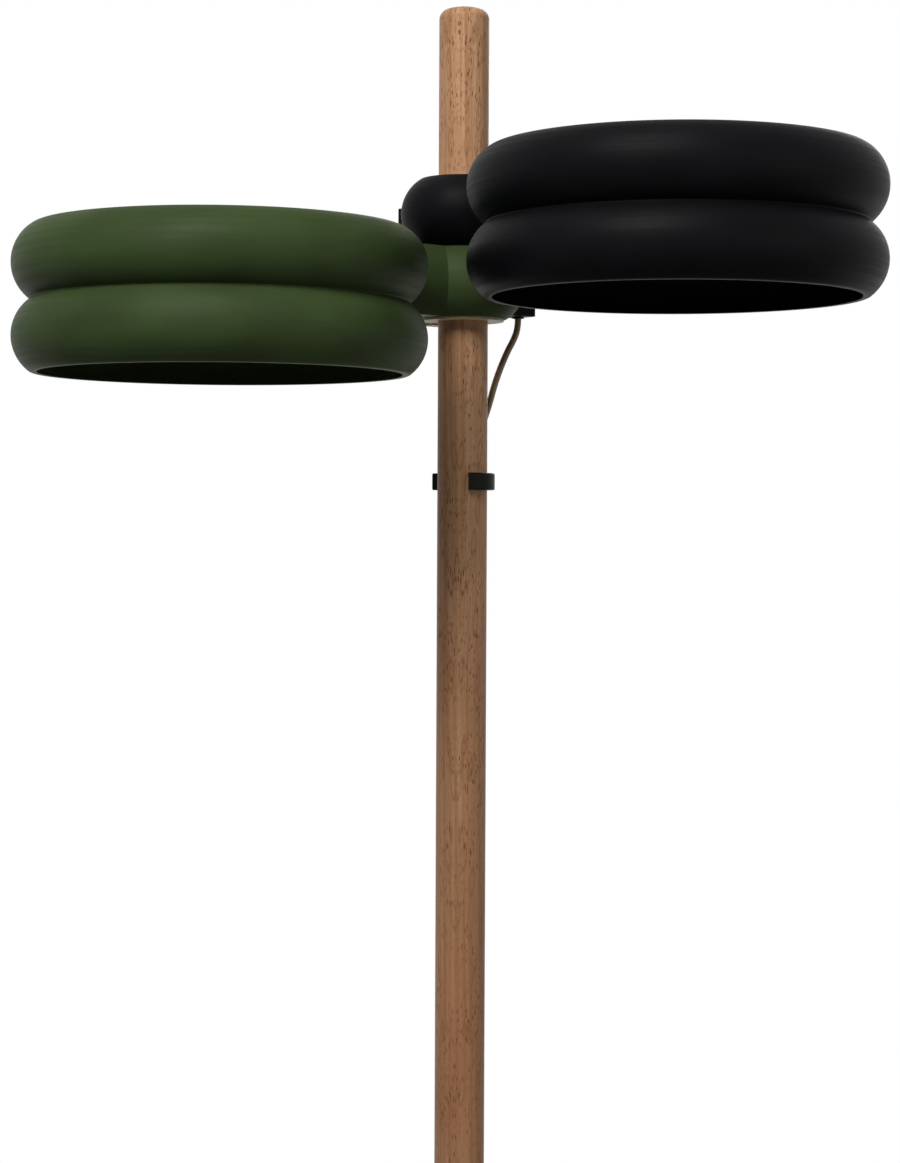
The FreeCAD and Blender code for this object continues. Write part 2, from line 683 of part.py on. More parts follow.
def make_lead(colour):
    """The lead from the connector, through hub, neck and wall, to the board."""
    mid = value_of(RING_TOP)
    plate = value_of(PLATE_TOP)
    wall_x = size("armLength") - size("shadeRadius")
    entry = size("armLength") - size("boardRadius") + 20
    way = lead_way(colour)
    points = [
        (-(size("boxReach") - 2) + 10.6, 0, mid),
        (-30, 0, mid),
        (-26.7, 7 * way, mid),
        (-19.2, 18.6 * way, mid),
        (-12.4, 24.6 * way, mid),
        (12.4, 24.6 * way, mid),
        (19.2, 18.6 * way, mid),
        (26.4, 7 * way, mid),
        (34, 0, mid),
        (wall_x + 10, 0, mid),
        (wall_x + 22, 0, mid + 3),
        (wall_x + 38, 0, plate + 2.5),
        (entry - 14, 0, plate + 3.4),
        (entry - 3.5, 0, plate + 3.2),
        (entry, 0, plate - 1),
        (entry, 0, value_of(PLATE_LOW)),
    ]
    wire, radii = rounded_path([Vector(*p) for p in points])
    shape = tube(wire, size("leadRadius"))
    report_tube(colour + "_led_lead", shape, wire, size("leadRadius"), radii)
    set_shape(colour + "_led_lead", shape, head_place(colour))


def make_head(colour):
    make_hub_arm(colour)
    make_sleeve(colour)
    grub_screw(colour)
    make_shade(colour)
    set_shape(colour + "_arm_screws", Part.makeCompound(arm_screws()), head_place(colour))
    make_light(colour)
    shade_place = head_place(colour) * Placement(Vector(size("armLength"), 0, 0), Rotation())
    set_shape(colour + "_plate_screws", Part.makeCompound(plate_screws(colour)), shade_place)
    make_box(colour)
    make_lead(colour)


# ---- pole and jack ----------------------------------------------------------------------------------------

FOOT_TOP = "(Sizes.rubberThick + Sizes.footThick)"
NUT_LOW = "(%s + 10 + Sizes.jackTravel + 4)" % FOOT_TOP
FERRULE_LOW = "(%s + Sizes.nutHeight)" % NUT_LOW
POLE_LOW = "(%s + 6)" % FERRULE_LOW


def make_pole():
    body = new_body("pole")
    radius = "Sizes.poleRadius"
    flat = "(Sizes.poleRadius - Sizes.poleTopRound)"
    points = [
        ("0", POLE_LOW),
        (radius, POLE_LOW),
        (radius, "%s - Sizes.poleTopRound" % POLE_TOP, "Sizes.poleTopRound", 1),
        (flat, POLE_TOP),
        ("0", POLE_TOP),
    ]
    turned(body, "Dowel", points)
    recess = circles(body, "PadRecessSketch", "XY_Plane", [("0", "0", "Sizes.padRadius")])
    lower_sketch(recess, POLE_TOP)
    pushed(body, "PadRecess", recess, "Sizes.padThick - Sizes.padProud", cut=True)
    bore = circles(body, "JackBoreSketch", "XY_Plane", [("0", "0", "Sizes.jackRadius + 0.75")])
    lower_sketch(bore, POLE_LOW)
    pushed(body, "JackBore", bore, "130", cut=True, back=True)
    pin = circles(body, "PinHoleSketch", "YZ_Plane", [("0", "%s + 20" % POLE_LOW, "2.05")])
    pushed(body, "PinHole", pin, "Sizes.poleRadius + 1", cut=True, back=True)
    pilot = circles(body, "PilotSketch", "XZ_Plane", [("0", "%s + 38" % POLE_LOW, "1.3")])
    pushed(body, "Pilot", pilot, "Sizes.poleRadius + 1", cut=True)
    pilot_back = circles(body, "PilotBackSketch", "XZ_Plane", [("0", "%s + 38" % POLE_LOW, "1.3")])
    pushed(body, "PilotBack", pilot_back, "Sizes.poleRadius + 1", cut=True, back=True)
    cylinder("top_pad", "Sizes.padRadius", "Sizes.padThick", ("0", "0", "Sizes.ceilingHeight - Sizes.padThick"))


def make_ferrule():
    body = new_body("ferrule")
    inner = "Sizes.poleRadius + 0.1"
    hole = "Sizes.jackRadius + 0.1"
    points = [
        (hole, FERRULE_LOW),
        ("Sizes.ferruleRadius - 1", FERRULE_LOW),
        ("Sizes.ferruleRadius", "%s + 1" % FERRULE_LOW),
        ("Sizes.ferruleRadius", "%s + Sizes.ferruleHeight - 1.5" % FERRULE_LOW),
        ("Sizes.ferruleRadius - 1.5", "%s + Sizes.ferruleHeight" % FERRULE_LOW),
        (inner, "%s + Sizes.ferruleHeight" % FERRULE_LOW),
        (inner, POLE_LOW),
        (hole, POLE_LOW),
    ]
    turned(body, "Cup", points)
    pin = circles(body, "FerrulePinSketch", "YZ_Plane", [("0", "%s + 20" % POLE_LOW, "2.05")])
    pushed(body, "FerrulePin", pin, "Sizes.ferruleRadius + 1", cut=True, back=True)
    for back in (False, True):
        name = "FerruleHoleBack" if back else "FerruleHole"
        hole = circles(body, name + "Sketch", "XZ_Plane", [("0", "%s + 38" % POLE_LOW, "1.65")])
        pushed(body, name, hole, "Sizes.ferruleRadius + 1", cut=True, back=back)

    height = value_of(POLE_LOW) + 20
    tip = size("jackRadius") - 2.2
    set_shape("guide_pin", Part.makeCylinder(2.0, size("ferruleRadius") - 0.3 - tip, Vector(tip, 0, height), Vector(1, 0, 0)))
    seat = size("ferruleRadius")
    screws = [
        pan_screw(1.25, 8, 3.0, 1.8, Vector(0, way * seat, value_of(POLE_LOW) + 38), Vector(0, -way, 0)) for way in (1, -1)
    ]
    set_shape("ferrule_screws", Part.makeCompound(screws))


def make_jack():
    """Foot disc, rubber, screw with its key slot, and the hand nut that the ferrule stands on."""
    rubber = new_body("foot_rubber")
    edge = "(Sizes.footRadius + 2)"
    points = [
        ("0", "0"),
        ("%s - 0.8" % edge, "0"),
        (edge, "0.8"),
        (edge, "Sizes.rubberThick"),
        ("0", "Sizes.rubberThick"),
    ]
    turned(rubber, "Rubber", points)
    disc = new_body("foot_disc")
    points = [
        ("0", "Sizes.rubberThick"),
        ("Sizes.footRadius", "Sizes.rubberThick"),
        ("Sizes.footRadius", "%s - 2" % FOOT_TOP),
        ("Sizes.footRadius - 2", FOOT_TOP),
        ("20", FOOT_TOP, "6", -1),
        ("14", "%s + 6" % FOOT_TOP),
        ("14", "%s + 9" % FOOT_TOP),
        ("13", "%s + 10" % FOOT_TOP),
        ("Sizes.jackRadius", "%s + 10" % FOOT_TOP),
        ("Sizes.jackRadius", FOOT_TOP),
        ("0", FOOT_TOP),
    ]
    turned(disc, "Disc", points)
    screw = new_body("jack_screw")
    top = "(%s + 100)" % POLE_LOW
    points = [
        ("0", FOOT_TOP),
        ("Sizes.jackRadius", FOOT_TOP),
        ("Sizes.jackRadius", "%s - 1.5" % top),
        ("Sizes.jackRadius - 1.5", top),
        ("0", top),
    ]
    turned(screw, "Rod", points)
    slot_low = "(%s + 20 - Sizes.jackTravel - 4)" % POLE_LOW
    slot = outline(screw, "SlotSketch", "YZ_Plane", rectangle("-2.15", slot_low, "2.15", "%s + 24" % POLE_LOW))
    lower_sketch(slot, "Sizes.jackRadius - 2.4")
    pushed(screw, "Slot", slot, "10", cut=True, back=True)
    nut = new_body("jack_nut")
    bore = "Sizes.jackRadius + Sizes.runClear"
    high = "(%s + Sizes.nutHeight - 0.2)" % NUT_LOW
    points = [
        (bore, NUT_LOW),
        ("Sizes.nutRadius - 2", NUT_LOW),
        ("Sizes.nutRadius", "%s + 2" % NUT_LOW),
        ("Sizes.nutRadius", "%s - 2" % high),
        ("Sizes.nutRadius - 2", high),
        (bore, high),
    ]
    turned(nut, "Wheel", points)
    grip = circles(nut, "GripSketch", "XY_Plane", [("Sizes.nutRadius + 2.4", "0", "4")])
    lower_sketch(grip, high)
    notch = pushed(nut, "Grip", grip, "Sizes.nutHeight", cut=True)
    grips = nut.newObject("PartDesign::PolarPattern", "Grips")
    grips.Originals = [notch]
    grips.Axis = (grip, ["N_Axis"])
    grips.Angle = 360
    grips.Occurrences = 12
    nut.Tip = grips
    doc.recompute()


# ---- clips and cord ---------------------------------------------------------------------------------------

CLIP_COUNT = 5
CLIP_SPACING = 430.0
CLIP_OPEN_FROM = -202.0  # the clip's arc runs from its left end, at 158 degrees, ...
CLIP_OPEN_TO = -76.0  # ... round the back to its right end
CORD_X = 3.6  # where the cord runs down behind the pole
CORD_Y = 17.0


def make_clips():
    """Spring clips round the back of the pole, each with a groove that holds the cord against the wood."""
    clips = []
    inner = size("poleRadius") + 0.05
    outer = size("poleRadius") + size("clipThick")
    height = size("clipHeight")
    for k in range(CLIP_COUNT):
        low = value_of(POLE_TOP) - size("clipDrop") - height / 2 - k * CLIP_SPACING
        ring = soft_disc(outer, height, Vector(0, 0, low), 1.0)
        ring = ring.fuse(soft_disc(4.2, height, Vector(CORD_X, CORD_Y, low), 1.0))
        ring = ring.cut(Part.makeCylinder(inner, height * 3, Vector(0, 0, low - height)))
        ring = ring.cut(Part.makeCylinder(size("cordRadius") + 0.1, height * 3, Vector(CORD_X, CORD_Y, low - height)))
        # A wedge opens the clip to the front and left.
        far = 60.0
        wedge = [Vector(0, 0, low - height)]
        for k_angle in range(5):
            angle = math.radians(CLIP_OPEN_FROM + (CLIP_OPEN_TO - CLIP_OPEN_FROM) * k_angle / 4)
            wedge.append(Vector(far * math.cos(angle), far * math.sin(angle), low - height))
        face = Part.Face(Part.makePolygon(wedge + wedge[:1]))
        clips.append(ring.cut(face.extrude(Vector(0, 0, height * 3))))
    set_shape("cable_clips", Part.makeCompound(clips))
    return clips


def soft_disc(radius, height, base, edge):
    """A cylinder with both edges rounded."""
    disc = Part.makeCylinder(radius, height, base)
    return disc.makeFillet(edge, [e for e in disc.Edges if len(e.Vertexes) == 1])


# The cord's route, chosen by hand. It leaves the lower head's box and slants to the back of the pole. These
# heights are below the bush in the box's floor.
CORD_HEAD = [
    (33.55, 27.12, -6.0),
    (31.0, 26.5, -13.0),
    (26.9, 25.4, -20.5),
    (20.4, 23.6, -36.75),
    (15.4, 21.6, -55.75),
    (9.2, 19.3, -72.75),
    (3.6, 17.0, -89.75),
]
# It runs down through the clips, comes off the pole near the floor and lies on the floor as far as the coil.
CORD_FOOT = [
    (3.6, 17.0, 290.0),
    (4.0, 20.0, 262.0),
    (5.5, 29.0, 214.0),
    (8.0, 43.0, 160.0),
    (11.0, 58.0, 104.0),
    (14.5, 72.0, 54.0),
    (18.0, 86.0, 19.0),
    (22.5, 106.0, 2.6),
    (25.4, 135.0, 2.9),
    (25.4, 161.0, 2.9),
]

COIL_X = 55.0  # the coil's middle, on the floor behind the pole
COIL_Y = 165.0
COIL_LOW = 2.9  # the lowest layer's middle: the tie passes under it
COIL_OUT = 29.6  # outermost turn
COIL_STEP = 4.5  # from turn to turn and from layer to layer
COIL_LAYERS = 4
TURNS_A_LAYER = 2.5


def coil_point(turns):
    """A point of the coil after some turns. It spirals in, climbs a layer, spirals out, and so on."""
    layer = min(int(turns // TURNS_A_LAYER), COIL_LAYERS - 1)
    inside = COIL_OUT - COIL_STEP * TURNS_A_LAYER
    along = turns - layer * TURNS_A_LAYER
    depth = along if layer % 2 == 0 else TURNS_A_LAYER - along
    radius = COIL_OUT - COIL_STEP * depth
    for k in range(1, COIL_LAYERS):
        off = turns - k * TURNS_A_LAYER
        if abs(off) < 0.25:
            soft = COIL_STEP * (off * off * 2 + 0.125)
            radius = inside + soft if k % 2 == 1 else COIL_OUT - soft
    height = COIL_LOW + COIL_STEP * layer
    for k in range(1, COIL_LAYERS):
        off = turns - k * TURNS_A_LAYER
        if abs(off) < 0.25:
            part = off * 2 + 0.5
            height = COIL_LOW + COIL_STEP * (k - 1 + part * part * (3 - 2 * part))
    angle = math.pi - 2 * math.pi * turns
    return Vector(COIL_X + radius * math.cos(angle), COIL_Y + radius * math.sin(angle), height)


def coil_tangent(turns):
    step = 1e-4
    total = COIL_LAYERS * TURNS_A_LAYER
    low = max(turns - step, 0)
    high = min(turns + step, total)
    return (coil_point(high) - coil_point(low)).normalize()


def biarc(start, start_way, stop, stop_way):
    """Two arcs that join two points and keep the direction at both."""
    chord = stop - start
    both = start_way + stop_way
    a = 2 * (1 - start_way.dot(stop_way))
    b = chord.dot(both)
    c = chord.dot(chord)
    reach = (-b + math.sqrt(b * b + a * c)) / a if a > 1e-9 else c / (2 * b)
    first = start + start_way * reach
    last = stop - stop_way * reach
    joint = (first + last) * 0.5
    return [three_point_arc(start, first, joint), three_point_arc(joint, last, stop)]


def three_point_arc(start, corner, stop):
    """The arc that leaves start towards corner and reaches stop from corner."""
    middle = (start + stop) * 0.5
    half = (stop - start).Length / 2
    height = (corner - middle).Length
    turn = math.atan2(height, half)
    rise = half * math.tan(turn / 2)
    return Part.Arc(start, middle + (corner - middle).normalize() * rise, stop).toShape()


def make_coil():
    total = COIL_LAYERS * TURNS_A_LAYER
    step = 0.25
    lead_in = 2 * size("cordRadius")
    edges = []
    start = coil_point(0)
    edges.append(Part.LineSegment(start - coil_start_way() * lead_in, start).toShape())
    count = int(round(total / step))
    for k in range(count):
        a = k * step
        b = a + step
        way_a = coil_start_way() if k == 0 else coil_tangent(a)
        edges.extend(biarc(coil_point(a), way_a, coil_point(b), coil_tangent(b)))
    stop = coil_point(total)
    way = coil_tangent(total)
    edges.append(Part.LineSegment(stop, stop + way * lead_in).toShape())
    wire = Part.Wire(edges)
    shape = tube(wire, size("cordRadius"))
    gap = least_gap(total)
    print("cord_coil: length %.1f, least gap between turns %.2f" % (wire.Length, gap))
    print("   ends at %s going %s" % (stop + way * lead_in, way))
    report_tube("cord_coil", shape, wire, size("cordRadius"), [COIL_OUT - COIL_STEP * TURNS_A_LAYER])
    set_shape("cord_coil", shape)
    return stop + way * lead_in, way


def coil_start_way():
    """The coil is entered going away from the pole, along the floor."""
    return Vector(0, 1, 0)


def least_gap(total):
    samples = [(t / 40.0, coil_point(t / 40.0)) for t in range(int(total * 40) + 1)]
    least = 1e9
    for i, (turn_a, a) in enumerate(samples):
        for turn_b, b in samples[i + 18:]:
            if turn_b - turn_a > 0.45:
                least = min(least, (a - b).Length)
    return least - 2 * size("cordRadius")


def gland_reach():
    """From the pole's axis back to the bush in a box's floor."""
    return (size("boxReach") + size("boxSeat")) / 2 + 2.8


def cord_exit():
    """The cord's upper end, 0.2 mm below the lower head's bush, which turns with the head."""
    away = head_place("green").multVec(Vector(-gland_reach(), 0, value_of(BOX_LOW) - 1.0))
    return away - Vector(0, 0, 0.2)


def make_cord():
    start = cord_exit()
    upper = [Vector(x, y, start.z + fall) for x, y, fall in CORD_HEAD]
    lower = [Vector(*place) for place in CORD_FOOT]
    wire, radii = rounded_path([start] + upper + lower)
    shape = tube(wire, size("cordRadius"))
    report_tube("cord", shape, wire, size("cordRadius"), radii)
    set_shape("cord", shape)


def make_cord_end(start, way):
    """From the coil's top turn down to the plug on the floor beside it."""
    plug_mouth = Vector(74.0, 224.0, 7.0)
    points = [
        start,
        start + way * 11,
        Vector(27.2, 195.0, 12.6),
        Vector(34.0, 209.0, 9.4),
        Vector(46.0, 219.0, 7.6),
        Vector(60.0, 224.0, 7.0),
        plug_mouth,
    ]
    wire, radii = rounded_path(points)
    shape = tube(wire, size("cordRadius"))
    report_tube("cord_end", shape, wire, size("cordRadius"), radii)
    set_shape("cord_end", shape)
    make_plug(plug_mouth)


def make_plug(mouth):
    """A flat plug with two round pins, lying on the floor."""
    length = 36.0
    width = 26.0
    thick = 13.6
    nose = 10.0
    low = mouth.z - thick / 2
    outline_points = [
        Vector(mouth.x + nose, mouth.y - 5, low),
        Vector(mouth.x + nose + 12, mouth.y - width / 2, low),
        Vector(mouth.x + nose + length, mouth.y - width / 2, low),
        Vector(mouth.x + nose + length, mouth.y + width / 2, low),
        Vector(mouth.x + nose + 12, mouth.y + width / 2, low),
        Vector(mouth.x + nose, mouth.y + 5, low),
    ]
    body = Part.Face(Part.makePolygon(outline_points + outline_points[:1])).extrude(Vector(0, 0, thick))
    body = body.makeFillet(2.5, body.Edges)
    relief = Part.makeCone(3.2, 4.8, nose + 3, mouth, Vector(1, 0, 0))
    body = body.fuse(relief)
    set_shape("plug_body", body)
    pins = []
    for side in (-9.5, 9.5):
        start = Vector(mouth.x + nose + length, mouth.y + side, mouth.z)
        pin = Part.makeCylinder(2.0, 19, start, Vector(1, 0, 0))
        tip = [e for e in pin.Edges if len(e.Vertexes) == 1 and abs(e.Vertexes[0].X - start.x - 19) < 1e-6]
        pins.append(pin.makeFillet(1.4, tip))
    set_shape("plug_pins", Part.makeCompound(pins))


def make_tie():
    """A band round the coil's section, at the side away from the plug."""
    clear = size("cordRadius") + 0.25
    thick = 0.5
    inside = COIL_OUT - COIL_STEP * TURNS_A_LAYER - clear
    outside = COIL_OUT + clear
    low = COIL_LOW - clear
    high = COIL_LOW + COIL_STEP * (COIL_LAYERS - 1) + clear
    wide = 9.0
    outer = Part.makeBox(outside - inside + 2 * thick, wide, high - low + 2 * thick, Vector(inside - thick, -wide / 2, low - thick))
    long_edges = [e for e in outer.Edges if abs(e.tangentAt(e.FirstParameter).y) > 0.9]
    outer = outer.makeFillet(1.2, long_edges)
    inner = Part.makeBox(outside - inside, wide * 3, high - low, Vector(inside, -wide * 1.5, low))
    inner_edges = [e for e in inner.Edges if abs(e.tangentAt(e.FirstParameter).y) > 0.9]
    inner = inner.makeFillet(0.7, inner_edges)
    place = Placement(Vector(COIL_X, COIL_Y, 0), Rotation(UP, 62))
    set_shape("cord_tie", outer.cut(inner), place)


def make_all():
    make_pole()
    make_ferrule()
    make_jack()
    for colour in HEADS:
        make_head(colour)
    make_clips()
    make_cord()
    end, way = make_coil()
    make_cord_end(end, way)
    make_tie()


def check_all():
    doc.recompute()
    for item in doc.Objects:
        if "Invalid" in item.State or "Error" in item.State:
            raise RuntimeError("%s failed: %s" % (item.Name, item.State))
    for name, item in written:
        if item.Shape.isNull() or not item.Shape.isValid():
            raise RuntimeError(name + " has no valid shape")


def write_all():
    os.makedirs("parts", exist_ok=True)
    for name, item in written:
        item.Shape.exportStep("parts/%s.step" % name)
        print("%-24s solids %d volume %.1f" % (name, len(item.Shape.Solids), item.Shape.Volume))


make_all()
check_all()
write_all()
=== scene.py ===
import math

import bpy
from mathutils import Matrix, Vector


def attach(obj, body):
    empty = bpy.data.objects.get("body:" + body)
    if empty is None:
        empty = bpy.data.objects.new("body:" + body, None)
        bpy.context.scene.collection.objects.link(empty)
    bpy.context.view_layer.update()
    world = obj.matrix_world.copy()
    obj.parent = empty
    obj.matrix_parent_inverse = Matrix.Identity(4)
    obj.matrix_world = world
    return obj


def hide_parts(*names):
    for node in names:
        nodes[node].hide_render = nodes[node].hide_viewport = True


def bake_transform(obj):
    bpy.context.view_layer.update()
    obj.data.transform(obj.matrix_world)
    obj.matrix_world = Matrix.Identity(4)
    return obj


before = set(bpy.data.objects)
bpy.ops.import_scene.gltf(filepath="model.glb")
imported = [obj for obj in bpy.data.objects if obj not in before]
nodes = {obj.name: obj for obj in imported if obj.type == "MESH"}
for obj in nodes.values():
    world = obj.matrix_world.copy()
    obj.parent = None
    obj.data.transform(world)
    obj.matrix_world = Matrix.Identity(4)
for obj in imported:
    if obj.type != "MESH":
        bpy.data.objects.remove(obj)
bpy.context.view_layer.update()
print("frame loaded,", len(nodes), "nodes")

mm = 0.001


def letGo():
    # nothing stays selected or active before the next piece
    if bpy.context.object and bpy.context.object.mode != "OBJECT":
        bpy.ops.object.mode_set(mode="OBJECT")
    bpy.ops.object.select_all(action="DESELECT")


# camera
camera = {"place": (0.0, -1.551, 2.0834), "yaw": -0.262, "pitch": -1.0, "roll": 0.26, "focalPixels": 2575.0}


def placeCamera():
    yaw = math.radians(camera["yaw"])
    pitch = math.radians(camera["pitch"])
    roll = math.radians(camera["roll"])
    ahead = Vector((math.sin(yaw) * math.cos(pitch), math.cos(yaw) * math.cos(pitch), math.sin(pitch)))
    right = Vector((math.cos(yaw), -math.sin(yaw), 0.0))
    up = right.cross(ahead)
    tiltedRight = right * math.cos(roll) + up * math.sin(roll)
    tiltedUp = up * math.cos(roll) - right * math.sin(roll)
    data = bpy.data.cameras.new("camera")
    data.sensor_width = 36.0
    data.lens = camera["focalPixels"] / 1163 * 36.0  # the sensor's width is the picture's long side
    data.clip_start = 0.05
    item = bpy.data.objects.new("camera", data)
    bpy.context.scene.collection.objects.link(item)
    turn = Matrix((tiltedRight, tiltedUp, -ahead)).transposed().to_4x4()
    item.matrix_world = Matrix.Translation(Vector(camera["place"])) @ turn
    bpy.context.scene.camera = item


placeCamera()
print("camera placed")


# colours and small node helpers
def linear(r, g, b):
    # a screen colour, 0 to 255, as the shader wants it
    parts = []
    for value in (r, g, b):
        v = value / 255
        parts.append(v / 12.92 if v <= 0.04045 else ((v + 0.055) / 1.055) ** 2.4)
    return (parts[0], parts[1], parts[2], 1.0)


def newFinish(name, roughness=0.5, specular=0.5):
    finish = bpy.data.materials.new(name)
    finish.use_nodes = True
    tree = finish.node_tree
    shader = tree.nodes["Principled BSDF"]
    shader.inputs["Roughness"].default_value = roughness
    shader.inputs["Specular IOR Level"].default_value = specular
    return finish, tree, shader


def scaled(tree, vector, scale):
    mapping = tree.nodes.new("ShaderNodeMapping")
    mapping.inputs["Scale"].default_value = scale
    tree.links.new(vector, mapping.inputs["Vector"])
    return mapping.outputs["Vector"]


def objectPlace(tree, scale=(1, 1, 1), turn=(0, 0, 0)):
    # turned first and scaled after, so a long pattern stays long in its own direction
    place = tree.nodes.new("ShaderNodeTexCoord")
    mapping = tree.nodes.new("ShaderNodeMapping")
    mapping.inputs["Rotation"].default_value = turn
    tree.links.new(place.outputs["Object"], mapping.inputs["Vector"])
    return scaled(tree, mapping.outputs["Vector"], scale)


def foldedPlace(tree, radius, middle, slope):
    # across is the distance round a pole from an upright line, the same on both sides of it,
    # and up is the height, less a share of that distance
    place = tree.nodes.new("ShaderNodeTexCoord")
    parts = tree.nodes.new("ShaderNodeSeparateXYZ")
    tree.links.new(place.outputs["Object"], parts.inputs["Vector"])
    angle = sums(tree, "ARCTAN2", parts.outputs["X"], sums(tree, "MULTIPLY", parts.outputs["Y"], -1))
    across = sums(tree, "SUBTRACT", sums(tree, "MULTIPLY", angle, radius), middle)
    across = sums(tree, "ABSOLUTE", across, 0)
    up = sums(tree, "SUBTRACT", parts.outputs["Z"], sums(tree, "MULTIPLY", across, slope))
    join = tree.nodes.new("ShaderNodeCombineXYZ")
    tree.links.new(across, join.inputs["X"])
    tree.links.new(up, join.inputs["Z"])
    return join.outputs["Vector"], parts.outputs["Z"]


def noise(tree, vector, scale, detail=2.0, rough=0.5, distortion=0.0):
    item = tree.nodes.new("ShaderNodeTexNoise")
    item.inputs["Scale"].default_value = scale
    item.inputs["Detail"].default_value = detail
    item.inputs["Roughness"].default_value = rough
    item.inputs["Distortion"].default_value = distortion
    tree.links.new(vector, item.inputs["Vector"])
    return item.outputs["Fac"]


def cells(tree, vector, scale, randomness=1.0):
    item = tree.nodes.new("ShaderNodeTexVoronoi")
    item.inputs["Scale"].default_value = scale
    item.inputs["Randomness"].default_value = randomness
    tree.links.new(vector, item.inputs["Vector"])
    return item


def spread(tree, value, low, high, toLow=0.0, toHigh=1.0):
    item = tree.nodes.new("ShaderNodeMapRange")
    item.inputs["From Min"].default_value = low
    item.inputs["From Max"].default_value = high
    item.inputs["To Min"].default_value = toLow
    item.inputs["To Max"].default_value = toHigh
    tree.links.new(value, item.inputs["Value"])
    return item.outputs["Result"]


def sums(tree, operation, first, second):
    item = tree.nodes.new("ShaderNodeMath")
    item.operation = operation
    for socket, value in zip(item.inputs, (first, second)):
        if isinstance(value, (int, float)):
            socket.default_value = value
        else:
            tree.links.new(value, socket)
    return item.outputs["Value"]


def blendColour(tree, amount, first, second, way="MIX"):
    item = tree.nodes.new("ShaderNodeMix")
    item.data_type = "RGBA"
    item.blend_type = way
    if isinstance(amount, (int, float)):
        item.inputs["Factor"].default_value = amount
    else:
        tree.links.new(amount, item.inputs["Factor"])
    for socket, value in ((item.inputs[6], first), (item.inputs[7], second)):
        if isinstance(value, tuple):
            socket.default_value = value
        else:
            tree.links.new(value, socket)
    return item.outputs[2]


def ridges(tree, shader, height, depth, strength=1.0):
    bump = tree.nodes.new("ShaderNodeBump")
    bump.inputs["Strength"].default_value = strength
    bump.inputs["Distance"].default_value = depth
    tree.links.new(height, bump.inputs["Height"])
    tree.links.new(bump.outputs["Normal"], shader.inputs["Normal"])
    return bump


# finishes
beech = {
    "light": (176, 138, 105), "dark": (152, 112, 81), "streak": (126, 86, 58), "fleck": (92, 52, 32),
    "rosy": (122, 74, 48), "grainSlope": 3.0, "grainTurn": 14.0,
    "foldRadius": 0.015, "foldMiddle": -0.003, "foldSlope": 1.6, "paintedShadeFrom": 2.05, "paintedShadeTo": 1.86,
}


def beechFinish():
    finish, tree, shader = newFinish("oiledBeech", roughness=0.5, specular=0.12)
    turn = (math.radians(beech["grainSlope"]), 0, math.radians(beech["grainTurn"]))
    folded, height = foldedPlace(tree, beech["foldRadius"], beech["foldMiddle"], beech["foldSlope"])
    # growth rings lie across the dowel, so they show as soft upright bands
    bands = noise(tree, objectPlace(tree, (420, 90, 1.6), turn), 1.0, 3.0, 0.55, 0.3)
    streaks = noise(tree, objectPlace(tree, (1500, 1500, 14), turn), 1.0, 3.0, 0.6)
    patches = noise(tree, objectPlace(tree, (30, 30, 9)), 1.0, 2.0)
    band = spread(tree, bands, 0.35, 0.68)
    colour = blendColour(tree, band, linear(*beech["light"]), linear(*beech["dark"]))
    colour = blendColour(tree, spread(tree, streaks, 0.5, 0.78, 0.0, 0.6), colour, linear(*beech["streak"]))
    rosy = linear(*beech["rosy"])
    colour = blendColour(tree, spread(tree, patches, 0.5, 0.75, 0.0, 0.4), colour, rosy)
    # painted shade: the wood is drawn darker and redder from 2.05 m down to 1.86 m and below, for the light
    # falling off lower down
    paintedFalloff = spread(tree, height, beech["paintedShadeFrom"], beech["paintedShadeTo"], 0.0, 0.34)
    colour = blendColour(tree, paintedFalloff, colour, rosy)
    # rays are thin upright lenses, and lie in pairs either side of the line where they are cut flat
    rays = cells(tree, scaled(tree, folded, (760, 1, 150)), 1.0).outputs["Distance"]
    fleck = spread(tree, rays, 0.16, 0.30, 1.0, 0.0)
    small = cells(tree, objectPlace(tree, (1300, 1300, 260), turn), 1.0).outputs["Distance"]
    fine = spread(tree, small, 0.16, 0.30, 0.6, 0.0)
    some = spread(tree, noise(tree, objectPlace(tree, (60, 60, 30)), 1.0), 0.42, 0.6, 0.25, 1.0)
    marks = sums(tree, "MULTIPLY", sums(tree, "MAXIMUM", fleck, fine), some)
    # wide apart, a dark arch with a red spot under it
    arches = cells(tree, scaled(tree, folded, (150, 1, 34)), 1.0).outputs["Distance"]
    ring = sums(tree, "ABSOLUTE", sums(tree, "SUBTRACT", arches, 0.26), 0)
    arch = spread(tree, ring, 0.02, 0.08, 0.5, 0.0)
    colour = blendColour(tree, arch, colour, linear(*beech["streak"]))
    colour = blendColour(tree, marks, colour, linear(*beech["fleck"]))
    tree.links.new(colour, shader.inputs["Base Color"])
    tree.links.new(spread(tree, marks, 0.0, 1.0, 0.46, 0.62), shader.inputs["Roughness"])
    ridges(tree, shader, sums(tree, "SUBTRACT", sums(tree, "MULTIPLY", streaks, 0.5), marks), 0.00008, 0.5)
    return finish


printed = {
    "green": {"colour": (52, 66, 37), "deep": (43, 55, 30), "roughness": 0.5, "specular": 0.05},
    # painted reflection: the black and its deep tone are tinted a little blue for a cool sheen
    "black": {"colour": (12, 13, 16), "deep": (8, 8, 10), "roughness": 0.46, "specular": 0.035},
    "layer": 0.0002,
}


